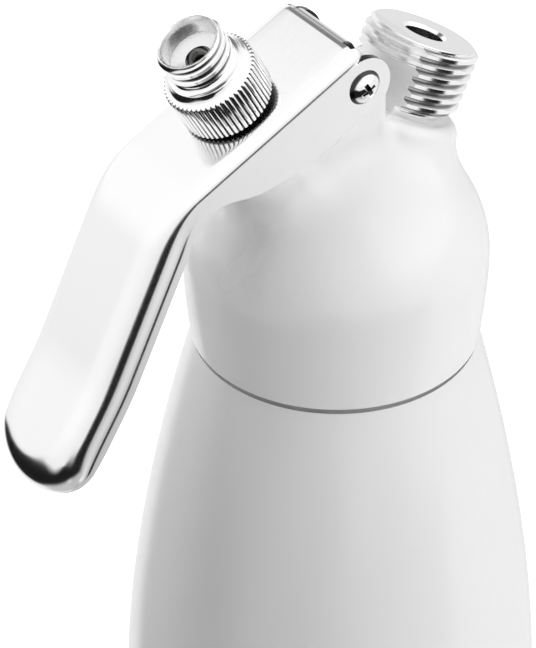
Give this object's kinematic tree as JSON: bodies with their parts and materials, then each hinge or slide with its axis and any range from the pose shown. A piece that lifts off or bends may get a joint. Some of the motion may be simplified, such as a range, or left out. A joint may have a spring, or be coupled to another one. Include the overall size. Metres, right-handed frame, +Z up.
{
  "type": "whipped cream dispenser",
  "caption": "Whipped cream dispenser: lacquered bottle, screw-on head with tilting lever, spring-closed spout stem and threaded charger inlet.",
  "frame": {"origin": "centre of the ring that the bottle stands on, on the bottle's axis", "axes": "+Z up along the bottle's axis; -X towards the lever's grip and +X towards the charger inlet; XZ is the plane of symmetry"},
  "size_m": [0.1144, 0.085, 0.2455],
  "materials": {
    "bottle_lacquer": "gloss white lacquer on drawn aluminium",
    "head_lacquer": "gloss white lacquer on cast aluminium",
    "chrome": "bright chrome",
    "lever_steel": "mirror polished pressed steel",
    "stem_steel": "turned steel",
    "spring_steel": "drawn spring wire",
    "brass": "turned",
    "black_rubber": "matt",
    "silicone": "translucent satin",
    "washer_plastic": "natural acetal"
  },
  "bodies": {
    "bottle": {"bottle": "bottle_lacquer"},
    "gasket": {"head_gasket": "silicone"},
    "head": {"head_shell": "head_lacquer", "guide_bush": "brass", "stem_seal": "black_rubber", "charger_inlet": "chrome", "inlet_washer": "black_rubber", "piercing_pin": "stem_steel", "charger_seat": "black_rubber", "check_sleeve": "black_rubber", "return_spring": "spring_steel"},
    "lever": {"lever": "lever_steel", "pivot_barrel": "stem_steel", "pivot_screw": "chrome"},
    "stem": {"valve_stem": "stem_steel", "valve_plate": "stem_steel", "valve_rubber": "black_rubber", "valve_nut": "stem_steel", "slide_washer": "washer_plastic", "nozzle_adapter": "chrome", "adapter_washer": "silicone"}
  },
  "joints": [
    {"name": "head_rise", "type": "slide", "parent": "bottle", "child": "gasket", "axis": [0, 0, 1], "range_m": [0, 0.0101]},
    {"name": "head_turn", "type": "hinge", "parent": "gasket", "child": "head", "pos_m": [0, 0, 0.168], "axis": [0, 0, 1], "range_deg": [0, 900]},
    {"name": "lever_press", "type": "hinge", "parent": "head", "child": "lever", "pos_m": [-0.0026, 0, 0.2275], "axis": [0, -1, 0], "range_deg": [0, 8.5], "stiffness_Nm_per_rad": 1.49, "springref_deg": -10.89},
    {"name": "stem_slide", "type": "slide", "parent": "head", "child": "stem", "axis": [0.4871, 0, -0.8733], "range_m": [0, 0.0029], "deforming": ["return_spring"]}
  ],
  "couplings": [
    {"joint": "head_rise", "follows": "head_turn", "m_per_rad": 0.00063662},
    {"joint": "stem_slide", "follows": "lever_press", "m_per_rad": 0.019308}
  ]
}
